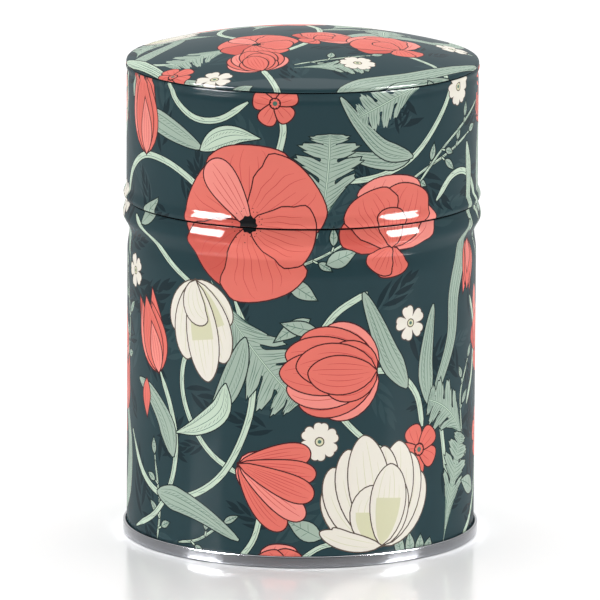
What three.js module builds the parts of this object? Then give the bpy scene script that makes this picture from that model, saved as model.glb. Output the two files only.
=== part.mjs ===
// A round tea caddy in printed tinplate: a rolled body with a stop bead and a neck, a base joined to it by a
// double seam, a tall slip-over lid with a domed top, and an inner plug lid that is lifted by a riveted knob.
// Millimetres, +Z up. The origin is the centre of the ring that the caddy stands on.
import * as THREE from "three";

// Driving dimensions
const PLATE = 0.25; // thickness of the tinplate
const LAP = 0.05; // what is left between two layers that are pressed together
const BODY_RADIUS = 41.75; // outside of the body's wall
const LID_RADIUS = 42.0; // outside of the lid's wall
const SLIP = 0.35; // how loosely the lid goes over the neck
const HEIGHT = 121.0; // to the crown of the lid
const REST_LINE = 81.5; // where lid and body meet
const CROWN_EDGE = 114.15; // underside of the bead round the crown
const NECK_TOP = 97.0; // top of the curl round the mouth
const SEAM_HEIGHT = 2.9; // of the double seam at the base
const SEGMENTS = 40; // round the tin
const SMALL_SEGMENTS = 20; // round the knob and the rivet

// What follows from them
const PARTING_GAP = 0.3; // between the lid's rim and the shoulder that it rests on
const NECK_RADIUS = LID_RADIUS - PLATE - SLIP;
const LAYER = PLATE + LAP; // one layer of a seam
const SHOULDER_Z = REST_LINE - PARTING_GAP / 2;
const RIM_Z = REST_LINE + PARTING_GAP / 2;

const at = (radius, z) => new THREE.Vector2(radius, z);

// Points of an arc about (radius, z), from one angle to another in degrees, both ends included.
function arc(radius, z, size, from, to, steps = 4) {
  const points = [];
  for (let i = 0; i <= steps; i++) {
    const angle = THREE.MathUtils.degToRad(from + ((to - from) * i) / steps);
    points.push(at(radius + size * Math.cos(angle), z + size * Math.sin(angle)));
  }
  return points;
}

const leftOf = (from, to) => at(from.y - to.y, to.x - from.x).normalize();

// The closed outline of a bent sheet: the face that the points draw, and its other face, one plate to the left.
function sheet(face) {
  const last = face.length - 1;
  const other = face.map((point, i) => {
    const before = leftOf(face[Math.max(i - 1, 0)], face[Math.max(i, 1)]);
    const after = leftOf(face[Math.min(i, last - 1)], face[Math.min(i + 1, last)]);
    const middle = before.clone().add(after).normalize();
    const moved = point.clone().addScaledVector(middle, PLATE / middle.dot(after));
    return point.x === 0 ? at(0, point.y + Math.sign(middle.y) * PLATE) : moved;
  });
  return [...face, ...other.reverse()];
}

const signedArea = (points) =>
  points.reduce((sum, p, i) => sum + p.cross(points[(i + 1) % points.length]), 0) / 2;

// A node turned from an outline that closes on itself or that starts and ends on the axis.
function turned(name, outline, material, segments = SEGMENTS) {
  const round = signedArea(outline) < 0 ? [...outline].reverse() : [...outline];
  const onAxis = round.findIndex((p, i) => p.x === 0 && round.at(i - 1).x === 0);
  const points = onAxis < 0 ? [...round, round[0]] : [...round.slice(onAxis), ...round.slice(0, onAxis)];
  const geometry = new THREE.LatheGeometry(points, segments).rotateX(Math.PI / 2);
  const mesh = new THREE.Mesh(geometry, material);
  mesh.name = name;
  return mesh;
}

const printedTinplate = new THREE.MeshStandardMaterial({ color: 0x2b4347, roughness: 0.28, metalness: 0.2 });
const bareTinplate = new THREE.MeshStandardMaterial({ color: 0xb9bbbd, roughness: 0.3, metalness: 1 });
const turnedAluminium = new THREE.MeshStandardMaterial({ color: 0xcfd0d2, roughness: 0.25, metalness: 1 });

// Double seam, from the axis outwards: the base's chuck wall, the body's wall, the base's hook, the body's hook
// and the base's seaming wall, each one layer from the next.
const BASE_HOOK_RADIUS = BODY_RADIUS + LAP; // inner face of the base's hook
const BODY_HOOK_RADIUS = BODY_RADIUS + LAP + LAYER; // inner face of the body's hook
const SEAM_RADIUS = BODY_HOOK_RADIUS + LAYER + PLATE; // outside of the seam
const CHUCK_RADIUS = BODY_RADIUS - LAYER - PLATE; // inside of the chuck wall

// The rolled wall. It hooks into the seam, is pinched in and beaded out below the lid, and steps in to the neck,
// which ends in a curl round the mouth.
function bodyWall() {
  const hookBend = (BODY_HOOK_RADIUS - BODY_RADIUS) / 2;
  const hookTip = 2.1;
  const hookFoot = PLATE + LAP + hookBend + PLATE;
  const curl = 0.65;
  return turned(
    "body_wall",
    sheet([
      at(BODY_HOOK_RADIUS, hookTip),
      ...arc(BODY_RADIUS + hookBend, hookFoot, hookBend, 0, -180, 3),
      at(BODY_RADIUS, 71.6),
      at(BODY_RADIUS - 0.2, 72.7),
      at(BODY_RADIUS - 0.55, 73.9),
      at(BODY_RADIUS - 0.35, 74.9),
      at(BODY_RADIUS + 0.75, 76.8),
      at(BODY_RADIUS + 1.1, 77.9),
      at(BODY_RADIUS + 1.0, 79.2),
      ...arc(BODY_RADIUS + 0.3, SHOULDER_Z - 0.4, 0.4, 0, 90, 2),
      at(NECK_RADIUS + 0.4, SHOULDER_Z),
      ...arc(NECK_RADIUS + 0.4, SHOULDER_Z + 0.4, 0.4, -90, -180, 2).slice(1),
      ...arc(NECK_RADIUS - curl, NECK_TOP - curl, curl, 0, 180, 5),
      at(NECK_RADIUS - 2 * curl, NECK_TOP - curl - 0.45),
    ]),
    printedTinplate,
  );
}

// The base: a panel with one step, set up inside the wall, and the rim that is rolled round the wall's hook.
function basePlate() {
  const panelZ = 3.9;
  const panelStep = 0.5;
  const chuckBend = 0.8;
  const footBend = 0.475;
  const topBend = (SEAM_RADIUS - BASE_HOOK_RADIUS) / 2;
  return turned(
    "base_plate",
    sheet([
      at(0, panelZ),
      at(34.4, panelZ),
      at(35.3, panelZ - panelStep),
      ...arc(CHUCK_RADIUS - chuckBend, panelZ - panelStep - chuckBend, chuckBend, 90, 0, 2),
      ...arc(CHUCK_RADIUS + footBend, footBend, footBend, 180, 270, 2),
      ...arc(SEAM_RADIUS - footBend, footBend, footBend, 270, 360, 2),
      ...arc(SEAM_RADIUS - topBend, SEAM_HEIGHT - topBend, topBend, 0, 180, 3),
      at(BASE_HOOK_RADIUS, 1.0),
    ]),
    bareTinplate,
  );
}

// The lid's rolled wall: a hemmed and beaded rim that rests on the body's shoulder, and at the top a groove that
// bites on the crown's skirt, under a lip that carries the crown's bead.
function lidWall() {
  const hem = 0.4;
  const hemRadius = LID_RADIUS - PLATE;
  const lip = 0.4;
  const lipTop = CROWN_EDGE - 0.2;
  return turned(
    "lid_wall",
    sheet([
      at(hemRadius, RIM_Z + 1.75),
      ...arc(hemRadius + hem, RIM_Z + hem, hem, 180, 360, 3),
      at(LID_RADIUS + 0.7, RIM_Z + 0.95),
      at(LID_RADIUS + 0.6, RIM_Z + 1.4),
      at(LID_RADIUS + 0.15, RIM_Z + 2.5),
      at(LID_RADIUS, RIM_Z + 3.1),
      at(LID_RADIUS, CROWN_EDGE - 3),
      at(LID_RADIUS - 0.23, CROWN_EDGE - 2.15),
      at(LID_RADIUS + 0.2, CROWN_EDGE - 1),
      ...arc(LID_RADIUS + 0.2 - lip, lipTop - lip, lip, 0, 90, 2),
    ]),
    printedTinplate,
  );
}

// The crown: a shallow dome with a round bead at its edge, and a skirt that is pressed into the wall.
function lidCrown() {
  const skirtRadius = LID_RADIUS - 0.23 - PLATE - LAP;
  const bead = 0.8;
  const beadRadius = LID_RADIUS + 0.1 - bead;
  const beadZ = CROWN_EDGE + 0.25;
  const domeReach = beadRadius + 0.22; // where the bead runs out into the dome
  const rise = HEIGHT - (beadZ + 0.77);
  const sphere = (domeReach ** 2 + rise ** 2) / (2 * rise);
  const dome = [];
  for (const share of [0.9, 0.76, 0.6, 0.43, 0.26, 0.1]) {
    const radius = share * domeReach;
    dome.push(at(radius, HEIGHT - sphere + Math.sqrt(sphere ** 2 - radius ** 2)));
  }
  return turned(
    "lid_crown",
    sheet([
      at(skirtRadius, CROWN_EDGE - 3.2),
      at(skirtRadius, CROWN_EDGE - 0.5),
      at(skirtRadius + 0.2, CROWN_EDGE - 0.1),
      ...arc(beadRadius, beadZ, bead, -18, 74, 4),
      ...dome,
      at(0, HEIGHT),
    ]),
    printedTinplate,
  );
}

// Inner lid: a drawn pan that plugs the mouth, with a rolled flange over the curl and a boss for the knob.
const PAN_Z = 90.0; // underside of the pan's floor
const BOSS_RISE = 0.6;
const PLUG_RADIUS = NECK_RADIUS - 1.55;
const RIVET_RADIUS = 1.5;

function innerLidPan() {
  const floorBend = 1.1;
  const flangeBend = 0.6;
  const flangeZ = NECK_TOP + LAP;
  const roll = 0.4;
  const rollRadius = NECK_RADIUS - 0.15 - roll;
  return turned(
    "inner_lid_pan",
    sheet([
      at(RIVET_RADIUS + 3 * LAP, PAN_Z + BOSS_RISE),
      at(8.5, PAN_Z + BOSS_RISE),
      at(9.3, PAN_Z),
      ...arc(PLUG_RADIUS - floorBend, PAN_Z + floorBend, floorBend, -90, 0, 2),
      ...arc(PLUG_RADIUS + flangeBend, flangeZ - flangeBend, flangeBend, 180, 90, 2),
      ...arc(rollRadius, flangeZ + roll, roll, -90, 90, 3),
      at(rollRadius - 0.15, flangeZ + 2 * roll),
    ]),
    bareTinplate,
  );
}

// The knob: a turned mushroom with a blind hole for the rivet's shank.
function innerLidKnob() {
  const footZ = PAN_Z + BOSS_RISE + PLATE + LAP;
  const holeRadius = RIVET_RADIUS + LAP;
  return turned(
    "inner_lid_knob",
    [
      at(0, footZ + 6.5),
      at(holeRadius, footZ + 6.5),
      at(holeRadius, footZ),
      at(4.2, footZ),
      at(4.2, footZ + 0.6),
      at(3.2, footZ + 1.3),
      at(2.8, footZ + 3.0),
      at(3.1, footZ + 4.6),
      at(4.3, footZ + 5.8),
      ...arc(5.9, footZ + 7.5, 1.2, -55, 70, 4),
      at(4.4, footZ + 9.6),
      at(2.3, footZ + 10.3),
      at(0, footZ + 10.5),
    ],
    turnedAluminium,
    SMALL_SEGMENTS,
  );
}

// The rivet: a low head under the pan's boss and a shank that goes up into the knob.
function knobRivet() {
  const headTop = PAN_Z + BOSS_RISE - LAP;
  return turned(
    "knob_rivet",
    [
      at(0, headTop - 1.0),
      at(2.0, headTop - 0.85),
      at(3.2, headTop - 0.3),
      at(3.2, headTop),
      at(RIVET_RADIUS, headTop),
      at(RIVET_RADIUS, headTop + 6.7),
      at(0, headTop + 6.7),
    ],
    turnedAluminium,
    SMALL_SEGMENTS,
  );
}

const body = new THREE.Group();
body.add(bodyWall(), basePlate());

const lid = new THREE.Group();
lid.add(lidWall(), lidCrown());

const innerLid = new THREE.Group();
innerLid.add(innerLidPan(), innerLidKnob(), knobRivet());

const caddy = new THREE.Group();
caddy.add(body, innerLid, lid);

export default caddy;
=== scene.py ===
"""A round tea caddy in printed tinplate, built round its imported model.

The sheets that carry the print are drawn flat, in millimetres, as on the printer's sheet. They are then
cut along every edge of the drawing and rolled up, so each ink is its own patch of the sheet. The bare pieces
are turned. The print is made of general flowers and leaves.
"""

import math
import random

import bpy
import numpy as np
from bpy.props import FloatProperty, FloatVectorProperty, IntProperty, PointerProperty
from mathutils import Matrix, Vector
from mathutils.bvhtree import BVHTree
from mathutils.geometry import delaunay_2d_cdt


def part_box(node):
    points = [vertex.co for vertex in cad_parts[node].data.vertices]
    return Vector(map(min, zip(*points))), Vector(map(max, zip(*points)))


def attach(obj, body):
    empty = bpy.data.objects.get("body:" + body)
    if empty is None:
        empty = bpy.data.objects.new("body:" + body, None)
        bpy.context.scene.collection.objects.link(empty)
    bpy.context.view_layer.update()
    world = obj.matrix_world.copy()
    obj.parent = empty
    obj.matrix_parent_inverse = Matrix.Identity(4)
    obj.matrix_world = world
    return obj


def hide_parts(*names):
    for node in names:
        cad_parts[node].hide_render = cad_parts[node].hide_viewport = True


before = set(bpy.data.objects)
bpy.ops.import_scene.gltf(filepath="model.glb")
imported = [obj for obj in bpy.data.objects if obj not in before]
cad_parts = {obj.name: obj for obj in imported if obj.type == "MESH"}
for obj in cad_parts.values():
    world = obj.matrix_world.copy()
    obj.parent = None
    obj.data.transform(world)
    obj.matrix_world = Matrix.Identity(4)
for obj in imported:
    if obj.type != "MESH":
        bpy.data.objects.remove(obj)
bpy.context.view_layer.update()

bl_info = {
    "name": "Tea Caddy",
    "version": (1, 0, 0),
    "blender": (4, 5, 0),
    "location": "3D View > Sidebar > Tea Caddy",
    "description": "Builds a printed tinplate tea caddy and its studio round the packed model",
    "category": "Add Mesh",
}

MM = 0.001


def box_mm(node):
    """Lowest and highest corner of a CAD node, in millimetres."""
    return [[c / MM for c in corner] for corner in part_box(node)]


# Sizes in millimetres, from the frame's boxes and the thickness of the sheet
PLATE = 0.25
LAP = 0.05
BODY_RADIUS = box_mm("body_wall")[1][0] - 1.1
NECK_TOP = box_mm("body_wall")[1][2]
LID_RADIUS = box_mm("lid_wall")[1][0] - 0.7
RIM_Z = box_mm("lid_wall")[0][2]
CROWN_EDGE = box_mm("lid_wall")[1][2] + 0.2
CROWN_TOP = box_mm("lid_crown")[1][2]
CROWN_FOOT = box_mm("lid_crown")[0][2]
SEAM_RADIUS = box_mm("base_plate")[1][0]
PANEL_Z = box_mm("base_plate")[1][2] - PLATE
PAN_Z = box_mm("inner_lid_pan")[0][2]
FLANGE_RADIUS = box_mm("inner_lid_pan")[1][0]
KNOB_FOOT = box_mm("inner_lid_knob")[0][2]
KNOB_TOP = box_mm("inner_lid_knob")[1][2]
RIVET_FOOT = box_mm("knob_rivet")[0][2]
SLIP = 0.35
SEAM_HEIGHT = 2.9
PARTING_GAP = 0.3
SHOULDER_Z = RIM_Z - PARTING_GAP
NECK_RADIUS = LID_RADIUS - PLATE - SLIP

SHEET_HALF = math.pi * LID_RADIUS  # half the length of the flat sheet
REPEAT = SHEET_HALF  # the print comes twice round the tin
SIDE_SEAM = 0.55  # half the bare strip along the side seam
SEAM_REACH = 2.2  # how far the dip beside the seam reaches, in widths of that strip
SLACK = 0.02  # how far a drawn line may cut a corner
WELD = 2e-4  # points of a cut that are nearer than this are one
PRINT_MARGIN = 0.06  # between the print and the edge of its sheet
WAVES = 3  # along a wavy edge


# --------------------------------------------------------------------------------------------------
# Properties


def length(name, default, text):
    return FloatProperty(name=name, description=text, default=default * MM, unit="LENGTH", precision=5)


def metres(name, default, text):
    return FloatProperty(name=name, description=text, default=default, unit="LENGTH")


def degrees(name, default, text):
    return FloatProperty(name=name, description=text, default=math.radians(default), subtype="ANGLE")


def ink(name, default, text):
    return FloatVectorProperty(name=name, description=text, default=default, subtype="COLOR", min=0, max=1)


class CaddySheet(bpy.types.PropertyGroup):
    """How the rolled sheets are cut and drawn."""

    columns: IntProperty(name="Columns", description="Flats round the tin", default=96, min=48)
    outline: length("Outline", 0.31, "Width of the dark line round each shape")
    hatch: length("Hatch", 0.165, "Width of the fine lines in leaves and petals")
    seam_depth: length("Seam depth", 0.09, "How far the side seam lies below the sheet")


class CaddyInks(bpy.types.PropertyGroup):
    """The colours that the sheet is printed in."""

    ground: ink("Ground", (0.020, 0.045, 0.053), "Dark teal behind everything")
    shade: ink("Shade", (0.010, 0.023, 0.029), "Darker foliage in the ground")
    haze: ink("Haze", (0.028, 0.058, 0.066), "Lighter foliage in the ground")
    coral: ink("Coral", (0.680, 0.158, 0.125), "Petals")
    blush: ink("Blush", (0.770, 0.250, 0.212), "Petals that turn over")
    ember: ink("Ember", (0.560, 0.102, 0.080), "Petals in shade")
    vein: ink("Vein", (0.520, 0.075, 0.065), "Fine lines in petals")
    wine: ink("Wine", (0.055, 0.012, 0.014), "Outline of petals")
    sage: ink("Sage", (0.330, 0.415, 0.345), "Leaves")
    mist: ink("Mist", (0.500, 0.610, 0.490), "Stems and the light side of leaves")
    moss: ink("Moss", (0.075, 0.150, 0.120), "Fine lines in leaves")
    pine: ink("Pine", (0.012, 0.024, 0.024), "Outline of leaves")
    cream: ink("Cream", (0.730, 0.695, 0.615), "Pale blossoms")
    butter: ink("Butter", (0.600, 0.590, 0.400), "The hearts of pale blossoms")
    bark: ink("Bark", (0.085, 0.060, 0.045), "Outline of pale blossoms")
    soot: ink("Soot", (0.008, 0.009, 0.010), "Hearts of poppies")


class CaddyStudio(bpy.types.PropertyGroup):
    """Where the camera stands and how light the floor is."""

    distance: metres("Distance", 2.306, "Camera to the point that it looks at")
    elevation: degrees("Elevation", 11.46, "Camera above level")
    aim: metres("Aim", 0.0562, "Height that the camera looks at")
    aside: metres("Aside", -0.00034, "How far to the right it looks")
    lean: degrees("Lean", 0.33, "Roll of the camera")
    lens: FloatProperty(name="Lens", description="Focal length", default=577.4, subtype="DISTANCE_CAMERA")
    floor: FloatProperty(name="Floor", description="Grey of the floor", default=0.85, min=0, max=1)


INKS = tuple(CaddyInks.__annotations__)
BARE = len(INKS)  # the slot after the inks is the bare metal


# --------------------------------------------------------------------------------------------------
# Lines on the flat


def smooth(points, closed=False, steps=5):
    """A smooth curve through the points."""
    p = np.asarray(points, float)
    n = len(p)
    if closed:
        p = np.vstack([p[-1], p, p[:2]])
        spans = n
    else:
        p = np.vstack([2 * p[0] - p[1], p, 2 * p[-1] - p[-2]])
        spans = n - 1
    t = np.linspace(0, 1, steps, endpoint=False)[:, None]
    out = []
    for a, b, c, d in zip(p[:spans], p[1:], p[2:], p[3:]):
        last = (3 * b - a - 3 * c + d) * t**3
        out.append(0.5 * (2 * b + (c - a) * t + (2 * a - 5 * b + 4 * c - d) * t**2 + last))
    if not closed:
        out.append(p[-2:-1])
    return np.vstack(out)


def sides(path):
    """Unit normals to the left of a path."""
    along = np.gradient(np.asarray(path, float), axis=0)
    along /= np.maximum(np.linalg.norm(along, axis=1, keepdims=True), 1e-9)
    return np.stack([-along[:, 1], along[:, 0]], axis=1)


def band(path, halves):
    """The closed outline of a path with the given half widths."""
    across = sides(path) * np.asarray(halves, float).reshape(-1, 1)
    return np.vstack([path - across, (path + across)[::-1]])


def area(loop):
    x, y = loop[:, 0], loop[:, 1]
    return 0.5 * float(np.dot(x, np.roll(y, -1)) - np.dot(y, np.roll(x, -1)))


def grown(loop, by):
    """A loop that runs counter-clockwise, moved outwards."""
    before, after = loop - np.roll(loop, 1, axis=0), np.roll(loop, -1, axis=0) - loop
    normals = []
    for step in (before, after):
        size = np.maximum(np.linalg.norm(step, axis=1, keepdims=True), 1e-9)
        normals.append(np.stack([step[:, 1], -step[:, 0]], axis=1) / size)
    middle = normals[0] + normals[1]
    middle /= np.maximum(np.linalg.norm(middle, axis=1, keepdims=True), 1e-9)
    stretch = np.maximum((middle * normals[0]).sum(1, keepdims=True), 0.45)
    return loop + middle * by / stretch


def arc(radius, z, size, start, end, steps=6):
    """Points of an arc about (radius, z), angles in degrees."""
    angles = np.radians(np.linspace(start, end, steps + 1))
    return [(radius + size * math.cos(a), z + size * math.sin(a)) for a in angles]


SHAPES = {
    "leaf": lambda t: np.sin(np.pi * t**0.8),
    "petal": lambda t: t**0.62 * (1 - t**5) ** 0.5,
    "flame": lambda t: t**0.75 * (1 - t) ** 0.6,
    "strap": lambda t: np.minimum(t / 0.25, 1) ** 0.6 * (1 - t) ** 0.5,
    "bud": lambda t: np.sin(np.pi * t) ** 0.6,
}


class Blade:
    """A leaf or a petal on a bending spine: it grows from the origin, and starts upwards."""

    def __init__(self, size, width, shape="leaf", bend=0.0, curl=0.0, wave=0.0, points=16):
        t = np.sin(np.linspace(0, 0.5 * np.pi, points))
        heading = 0.5 * np.pi + np.radians(bend) * t + np.radians(curl) * t**3
        step = np.diff(t, prepend=0)[:, None] * size
        self.spine = np.cumsum(np.stack([np.cos(heading), np.sin(heading)], axis=1) * step, axis=0)
        full = SHAPES[shape](np.linspace(0, 1, 200)).max()
        self.half = 0.5 * width * SHAPES[shape](t) / full
        self.left = self.half * (1 + wave * np.sin(2 * np.pi * WAVES * t))
        self.right = self.half * (1 + wave * np.sin(2 * np.pi * WAVES * t + 2))
        self.across = sides(self.spine)

    def place(self, share):
        """Points at a share of the half width, from -1 on the right to 1 on the left."""
        reach = self.left if share > 0 else self.right
        return self.spine + self.across * (reach * share)[:, None]

    def loop(self):
        return np.vstack([self.place(-1)[1:], self.place(1)[1:-1][::-1], self.spine[:1]])

    def line(self, share, start, end):
        count = len(self.spine)
        return self.place(share)[int(start * count):max(int(end * count), int(start * count) + 3)]

    def patch(self, near, far, start, end):
        return np.vstack([self.line(near, start, end), self.line(far, start, end)[::-1]])


class Pen:
    """Draws on a flat sheet in millimetres. A pen put at a place draws from there, turned."""

    def __init__(self, paints, outline, hatch, place=(0, 0), turn=0.0):
        self.paints, self.outline, self.hatch = paints, outline, hatch
        self.place = np.asarray(place, float)
        a = math.radians(turn)
        self.matrix = np.array([[math.cos(a), -math.sin(a)], [math.sin(a), math.cos(a)]])

    def at(self, place, turn=0.0):
        inner = Pen(self.paints, self.outline, self.hatch, self.sheet([place])[0], turn)
        inner.matrix = self.matrix @ inner.matrix
        return inner

    def sheet(self, loop):
        return np.asarray(loop, float) @ self.matrix.T + self.place

    def fill(self, loop, colour, edge=0.0):
        """One flat shape, which an edge makes larger all round."""
        loop = self.sheet(loop)
        if area(loop) < 0:
            loop = loop[::-1]
        self.paints.append((grown(loop, edge) if edge else loop, colour))

    def outlined(self, loops, colour, line, edge=1.0):
        """Shapes that run together, with one outline round them all."""
        for loop in loops:
            self.fill(loop, line, self.outline * edge)
        for loop in loops:
            self.fill(loop, colour)

    def stroke(self, path, colour, width=1.0):
        """A fine line that thins out at both ends."""
        path = np.asarray(path, float)
        t = np.linspace(0, 1, len(path))
        half = 0.5 * width * self.hatch * (0.35 + 0.65 * np.sin(np.pi * t))
        self.fill(band(path, half), colour)


# --------------------------------------------------------------------------------------------------
# What the print is made of


def freehand(points):
    """A closed outline through points. A point with a third value is a corner, and there is one at least."""
    corners = [k for k, point in enumerate(points) if len(point) > 2]
    plain = [point[:2] for point in points]
    first = corners[0]
    plain = plain[first:] + plain[:first + 1]
    stops = [k - first for k in corners] + [len(points)]
    return np.vstack([smooth(plain[a:b + 1])[:-1] for a, b in zip(stops, stops[1:])])


def petal(pen, turn, size, width, tone="coral", bend=0.0, curl=0.0, shape="petal", wave=0.0, split=False,
          line="wine", vein="vein", veins=5, shade=None, turned=None):
    """One petal. A split one ends in three points; a turned one shows its other face along one side."""
    pen = pen.at((0, 0), turn)
    blade = Blade(size, width, shape, bend, curl, wave)
    loops = [blade.loop()]
    if split:
        for side in (-1, 1):
            point = Blade(size * 0.84, width * 0.6, "flame", bend + 13 * side, curl)
            loops.insert(0, point.loop())
    pen.outlined(loops, tone, line)
    if shade:
        pen.fill(blade.patch(-0.7, 0.7, 0.06, 0.45), shade)
    if turned:
        pen.fill(blade.patch(0.45, 0.97, 0.2, 0.97), turned)
        pen.stroke(blade.line(0.45, 0.2, 0.97), line, 1.3)
    for k in range(veins):
        share = -0.75 + 1.5 * (k + 0.5) / veins
        start = 0.12 + 0.06 * (k % 2)
        pen.stroke(blade.line(share, start, 0.62 + 0.1 * ((k * 2) % 3)), vein)


def simple_leaf(pen, size, width, bend=0.0):
    """A small oval leaf with a midrib and side veins."""
    blade = Blade(size, width, "leaf", bend, points=13)
    pen.outlined([blade.loop()], "sage", "pine")
    pen.stroke(blade.line(0, 0, 0.95), "moss", 1.1)
    for k in range(3, 10, 2):
        for side in (-0.8, 0.8):
            tip = blade.place(side)[min(k + 1, 12)]
            pen.stroke([blade.spine[k], 0.5 * (blade.spine[k] + tip) * 1.01, tip], "moss", 0.8)


def cut_leaf(pen, size, width, lobes=4, bend=0.0):
    """A deeply cut leaf: a plain wedge, then toothed lobes with narrow gaps, and fine oblique lines."""
    rib = Blade(size, 1, "strap", bend, points=60)
    across = sides(rib.spine)

    def beside(share, out):
        """A point at a share of the length, moved forward as it goes out from the rib."""
        where = min(int((share + 0.16 * abs(out) * (1.2 - share)) * 59), 59)
        half = 0.42 * width * np.interp(share, [0, 0.3, 0.5, 0.75, 0.9, 1], [0.12, 0.9, 1, 0.66, 0.32, 0])
        return tuple(rib.spine[where] + across[where] * half * out)

    starts = [0.04] + [0.36 + 0.54 * k / (lobes - 1) for k in range(lobes - 1)]
    stops = [start - 0.035 for start in starts[1:]] + [0.9]
    wedge_teeth = ((0.62, 0.84), (0.82, 1.0), (0.97, 0.9))
    lobe_teeth = ((0.1, 0.84), (0.45, 1.08), (0.8, 0.98))
    edges, fine = [], []
    for side in (1, -1):
        edge = [(*beside(0, 0.5 * side), 1)]
        for k, (start, stop) in enumerate(zip(starts, stops)):
            teeth = wedge_teeth if k == 0 else lobe_teeth
            edge.append(beside(start + (0.08 if k == 0 else 0.0), 0.5 * side))
            for n, (along, out) in enumerate(teeth):
                edge.append((*beside(start + (stop - start) * along, out * side), 1))
                if n < 2:
                    edge.append((*beside(start + (stop - start) * (along + 0.1), (out - 0.13) * side), 1))
            edge.append(beside(stop + 0.01, 0.55 * side))
            if k < lobes - 1:
                edge.append(beside(stop + 0.004, 0.28 * side))
                edge.append(beside(stop + 0.03, 0.27 * side))
        for at in np.arange(0.04, 0.93, 0.9 / size):
            inside = any(start + 0.01 < at < stop - 0.01 for start, stop in zip(starts, stops))
            reach = 0.8 if inside else 0.3
            fine.append([beside(at, 0.04 * side), beside(at, 0.5 * reach * side), beside(at, reach * side)])
        edges.append(edge)
    tip = (*rib.spine[-1], 1)
    pen.outlined([freehand(edges[0] + [tip] + edges[1][::-1])], "sage", "pine", 0.9)
    for path in fine:
        pen.stroke(path, "moss", 1.0)
    pen.stroke(rib.line(0, 0, 0.97), "moss", 3.0)
    pen.stroke(rib.line(0, 0, 0.97), "mist", 1.5)


def strap(pen, path, width, tone="sage", shape="strap", lines=4):
    """A long leaf along a path, with long veins and short hatching between them."""
    spine = smooth(path, steps=6)
    t = np.linspace(0, 1, len(spine))
    full = SHAPES[shape](np.linspace(0, 1, 200)).max()
    half = 0.5 * width * SHAPES[shape](np.clip(t, 0.004, 0.996)) / full
    across = sides(spine)
    pen.outlined([band(spine, half)], tone, "pine")
    for k in range(lines):
        share = -0.62 + 1.24 * k / max(lines - 1, 1)
        stop = int(len(spine) * (0.96 - 0.1 * (k % 2)))
        pen.stroke((spine + across * (half * share)[:, None])[1:stop], "moss", 0.9)
    for k in range(2, len(spine) - 3):
        for near, far in ((-0.85, -0.66), (0.25, 0.45)):
            a = spine[k] + across[k] * half[k] * near
            b = spine[k + 1] + across[k + 1] * half[k + 1] * far
            pen.stroke([a, 0.5 * (a + b), b], "moss", 0.7)


def folded_strap(pen, first, second, width):
    """A long leaf that turns over half way along."""
    strap(pen, first, width, "sage", "bud", 3)
    strap(pen, second, width * 0.95, "mist", "leaf", 3)


def stem(pen, path, width):
    """A round stem: lighter than the leaves, with a dark edge and a few ticks on its shaded side."""
    line = smooth(path, steps=5)
    share = np.linspace(0, 1, len(line))
    half = 0.5 * width * np.clip(14 * np.minimum(share, 1 - share), 0.3, 1)
    pen.outlined([band(line, half)], "mist", "pine", 0.75)
    across = sides(line)
    pen.stroke(line + across * half[:, None] * -0.35, "moss", 0.75)
    for k in range(2, len(line) - 2, 3):
        a = line[k] + across[k] * half[k] * 0.75
        b = line[k + 1] + across[k + 1] * half[k + 1] * 0.1
        pen.stroke([a, 0.5 * (a + b), b], "moss", 0.8)


def twig(pen, path, leaves, size=4.0):
    """A thin stem with small leaves on stalks, on one side and the other by turns."""
    line = smooth(path, steps=6)
    stem(pen, path, 0.55)
    stalk = band(smooth([(0, 0), (0.1, 0.8), (0, 1.6)], steps=3), np.full(7, 0.16))
    heading = np.degrees(np.arctan2(*np.gradient(line, axis=0).T[::-1])) - 90
    for k in range(leaves):
        where = min(int((k + 1) / leaves * (len(line) - 1)), len(line) - 1)
        side = 1 if k % 2 else -1
        lean = heading[where] + (0 if k == leaves - 1 else 48 * side)
        inner = pen.at(line[where], lean)
        inner.outlined([stalk], "mist", "pine", 0.6)
        simple_leaf(inner.at((0, 1.5)), size * (0.85 + 0.3 * (k % 3) / 2), size * 0.42, 12 * side)


def poppy(pen, size):
    """An open poppy seen from above: broad wavy petals round a dark heart."""
    for angle, reach, broad, tone in (
        (-18, 1.02, 1.15, "coral"), (-72, 1.0, 1.12, "coral"), (44, 0.92, 1.02, "coral"),
        (116, 0.9, 0.98, "ember"), (176, 1.0, 1.12, "coral"), (-122, 0.86, 0.82, "coral"),
    ):
        petal(pen, angle, size * reach, size * broad, tone, wave=0.045, veins=7)
    petal(pen, 14, size * 0.95, size * 0.44, "blush", bend=8, veins=4)
    heart = []
    for k, a in enumerate(np.linspace(0, 2 * np.pi, 18, endpoint=False)):
        uneven = 0.105 + 0.018 * (k % 2)
        heart.append((math.cos(a) * size * uneven, math.sin(a) * size * uneven))
    for k in range(26):
        a, r = k * 2.399, size * (0.15 + 0.085 * ((k * 7) % 5) / 4)
        dot = pen.at((math.cos(a) * r, math.sin(a) * r))
        dot.fill([(0.16, 0), (0, 0.16), (-0.16, 0), (0, -0.16)], "soot")
    pen.fill(heart, "soot")


def bloom_eye(pen, size, line, tone):
    """The ringed heart of a small flower. Returns the ring, one millimetre in radius."""
    ring = np.array([(math.cos(a), math.sin(a)) for a in np.linspace(0, 2 * np.pi, 14, endpoint=False)])
    for reach, colour in ((0.26, line), (0.2, tone), (0.1, "moss")):
        pen.fill(ring * size * reach, colour)
    return ring


def bloom(pen, size, petals=5):
    """A small open flower with round petals, and dots round its eye."""
    for k in range(petals):
        petal(pen, 360 * k / petals, size * (1 - 0.06 * (k % 2)), size * 0.78, veins=2)
    ring = bloom_eye(pen, size, "wine", "coral")
    for k in range(9):
        a = k * 0.7
        pen.at((math.cos(a) * size * 0.2, math.sin(a) * size * 0.2)).fill(ring[::3] * 0.2, "wine")


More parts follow.
